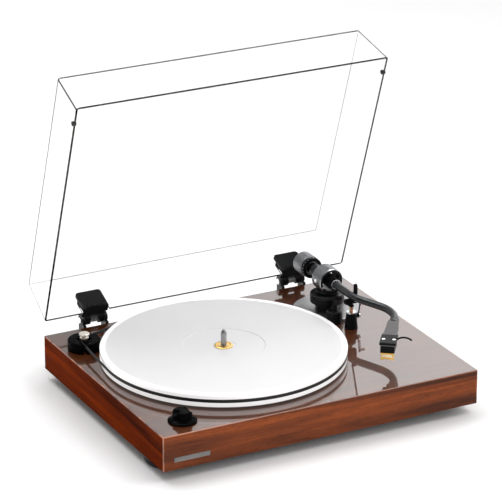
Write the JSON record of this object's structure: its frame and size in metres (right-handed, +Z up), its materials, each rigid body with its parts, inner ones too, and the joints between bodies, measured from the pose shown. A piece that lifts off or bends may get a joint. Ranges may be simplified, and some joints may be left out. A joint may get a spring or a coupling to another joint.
{
  "type": "turntable record player",
  "caption": "Belt-drive record player: lacquered walnut plinth, acrylic platter, S-shaped tonearm on a gimbal and a clear cover that hinges open and lifts off.",
  "frame": {"origin": "centre of the whole player's footprint, cover open, on the surface it stands on", "axes": "+Z up, front edge faces -Y, tonearm side is +X; the plinth is centred on X = 0 and its centre is at Y = -0.031"},
  "size_m": [0.42, 0.3959, 0.4035],
  "materials": {
    "walnut": "high-gloss lacquer over reddish walnut veneer",
    "black_plastic": "satin black moulded plastic",
    "rubber": "soft black rubber",
    "frosted_acrylic": "frosted top face, polished rim",
    "clear_acrylic": "clear polished acrylic",
    "silver_metal": "fine satin",
    "gunmetal": "satin gunmetal",
    "weight_metal": "dark satin",
    "chrome": "polished",
    "steel": "brushed",
    "brass": "turned and polished",
    "black_metal": "satin black",
    "board_green": "solder mask",
    "nylon": "natural nylon",
    "amber_plastic": "translucent amber",
    "shell_grey": "matte grey"
  },
  "bodies": {
    "base": {"plinth": "walnut", "bottom_cover": "black_plastic", "bottom_screws": "black_metal", "badge": "silver_metal", "control_board": "board_green", "board_standoffs": "nylon", "speed_switch": "black_plastic", "terminal_plate": "black_plastic", "line_jacks": "brass", "ground_post": "chrome", "power_socket": "black_plastic", "motor": "steel", "motor_bracket": "steel", "motor_guard": "black_plastic", "drive_belt": "rubber", "bearing_housing": "steel", "bearing_bush": "brass", "thrust_ball": "chrome", "hinge_brackets": "black_metal", "hinge_screws": "black_metal", "hinge_pins": "steel", "hinge_springs": "steel", "arm_base": "silver_metal", "arm_column": "black_metal", "arm_bearing": "steel", "rest_post": "black_plastic", "arm_rest": "black_plastic", "lift_cylinder": "black_metal"},
    "front_left_foot": {"foot_front_left": "rubber"},
    "front_right_foot": {"foot_front_right": "rubber"},
    "rear_foot": {"foot_rear": "rubber"},
    "turning_platter": {"platter": "frosted_acrylic", "platter_hub": "brass", "spindle": "chrome"},
    "pulley": {"motor_pulley": "silver_metal"},
    "selector": {"speed_knob": "black_plastic", "knob_shaft": "steel"},
    "hinge_arms": {"hinge_grips": "black_plastic"},
    "cover": {"dust_cover": "clear_acrylic", "cover_bumpers": "rubber"},
    "gimbal": {"gimbal_base": "black_metal", "gimbal_ring": "gunmetal"},
    "arm": {"pivot_block": "black_metal", "arm_tube": "gunmetal", "headshell": "shell_grey", "finger_lift": "black_metal", "cartridge_screws": "chrome", "cartridge_body": "black_plastic", "stylus_holder": "amber_plastic"},
    "sleeve": {"weight_sleeve": "black_plastic"},
    "weight": {"counterweight": "weight_metal"},
    "tracking_dial": {"force_dial": "silver_metal"},
    "collar": {"shell_collar": "gunmetal"},
    "lever": {"cue_lever": "chrome"},
    "lift": {"lift_bar": "silver_metal"},
    "anti_skate": {"anti_skate_dial": "silver_metal"},
    "earth_nut": {"ground_nut": "chrome"},
    "line_switch": {"line_switch_slider": "black_plastic"},
    "auto_stop": {"auto_stop_slider": "black_plastic"}
  },
  "joints": [
    {"name": "platter_spin", "type": "hinge", "parent": "base", "child": "turning_platter", "pos_m": [-0.045, -0.027, 0.06], "axis": [0, 0, -1], "continuous": true},
    {"name": "pulley_spin", "type": "hinge", "parent": "base", "child": "pulley", "pos_m": [-0.182, 0.078, 0.06], "axis": [0, 0, -1], "continuous": true},
    {"name": "knob_turn", "type": "hinge", "parent": "base", "child": "selector", "pos_m": [-0.1695, -0.1665, 0.06], "axis": [0, 0, -1], "range_deg": [-45, 45]},
    {"name": "foot_front_left_turn", "type": "hinge", "parent": "base", "child": "front_left_foot", "pos_m": [-0.183, -0.146, 0.01], "axis": [0, 0, 1], "continuous": true},
    {"name": "foot_front_right_turn", "type": "hinge", "parent": "base", "child": "front_right_foot", "pos_m": [0.183, -0.146, 0.01], "axis": [0, 0, 1], "continuous": true},
    {"name": "foot_rear_turn", "type": "hinge", "parent": "base", "child": "rear_foot", "pos_m": [0, 0.107, 0.01], "axis": [0, 0, 1], "continuous": true},
    {"name": "cover_hinge", "type": "hinge", "parent": "base", "child": "hinge_arms", "pos_m": [0, 0.1465, 0.0634], "axis": [-1, 0, 0], "range_deg": [-70.6, 0]},
    {"name": "cover_lift_off", "type": "slide", "parent": "hinge_arms", "child": "cover", "axis": [0, 0.919, 0.3942], "range_m": [0, 0.032]},
    {"name": "arm_swivel", "type": "hinge", "parent": "base", "child": "gimbal", "pos_m": [0.139, 0.049, 0.099], "axis": [0, 0, -1], "range_deg": [0, 45]},
    {"name": "arm_tilt", "type": "hinge", "parent": "gimbal", "child": "arm", "pos_m": [0.139, 0.049, 0.099], "axis": [-1, 0, 0], "range_deg": [-0.4, 12]},
    {"name": "weight_travel", "type": "slide", "parent": "arm", "child": "sleeve", "axis": [0, 1, 0], "range_m": [-0.0061, 0.0061]},
    {"name": "weight_turn", "type": "hinge", "parent": "sleeve", "child": "weight", "pos_m": [0.139, 0.104, 0.099], "axis": [0, 1, 0], "range_deg": [-1080, 1080]},
    {"name": "dial_turn", "type": "hinge", "parent": "weight", "child": "tracking_dial", "pos_m": [0.139, 0.09, 0.099], "axis": [0, 1, 0], "range_deg": [-180, 180]},
    {"name": "collar_turn", "type": "hinge", "parent": "arm", "child": "collar", "pos_m": [0.14689, -0.10624, 0.099], "axis": [-0.5948, -0.8039, 0], "range_deg": [0, 80]},
    {"name": "cue_lever_turn", "type": "hinge", "parent": "base", "child": "lever", "pos_m": [0.1478, -0.015, 0.072], "axis": [-1, 0, 0], "range_deg": [0, 50]},
    {"name": "cue_lift", "type": "slide", "parent": "base", "child": "lift", "axis": [0, 0, 1], "range_m": [0, 0.0035]},
    {"name": "anti_skate_turn", "type": "hinge", "parent": "base", "child": "anti_skate", "pos_m": [0.166, 0.065, 0.072], "axis": [0, 0, 1], "range_deg": [0, 270]},
    {"name": "ground_nut_turn", "type": "hinge", "parent": "base", "child": "earth_nut", "pos_m": [-0.068, 0.143, 0.035], "axis": [0, 1, 0], "continuous": true},
    {"name": "line_switch_slide", "type": "slide", "parent": "base", "child": "line_switch", "axis": [0, 0, -1], "range_m": [0, 0.004]},
    {"name": "auto_stop_slide", "type": "slide", "parent": "base", "child": "auto_stop", "axis": [0, 0, -1], "range_m": [0, 0.004]}
  ],
  "couplings": [
    {"joint": "pulley_spin", "follows": "platter_spin", "ratio": 29.8},
    {"joint": "weight_travel", "follows": "weight_turn", "m_per_rad": 0.00031831},
    {"joint": "cue_lift", "follows": "cue_lever_turn", "m_per_rad": 0.00401}
  ]
}
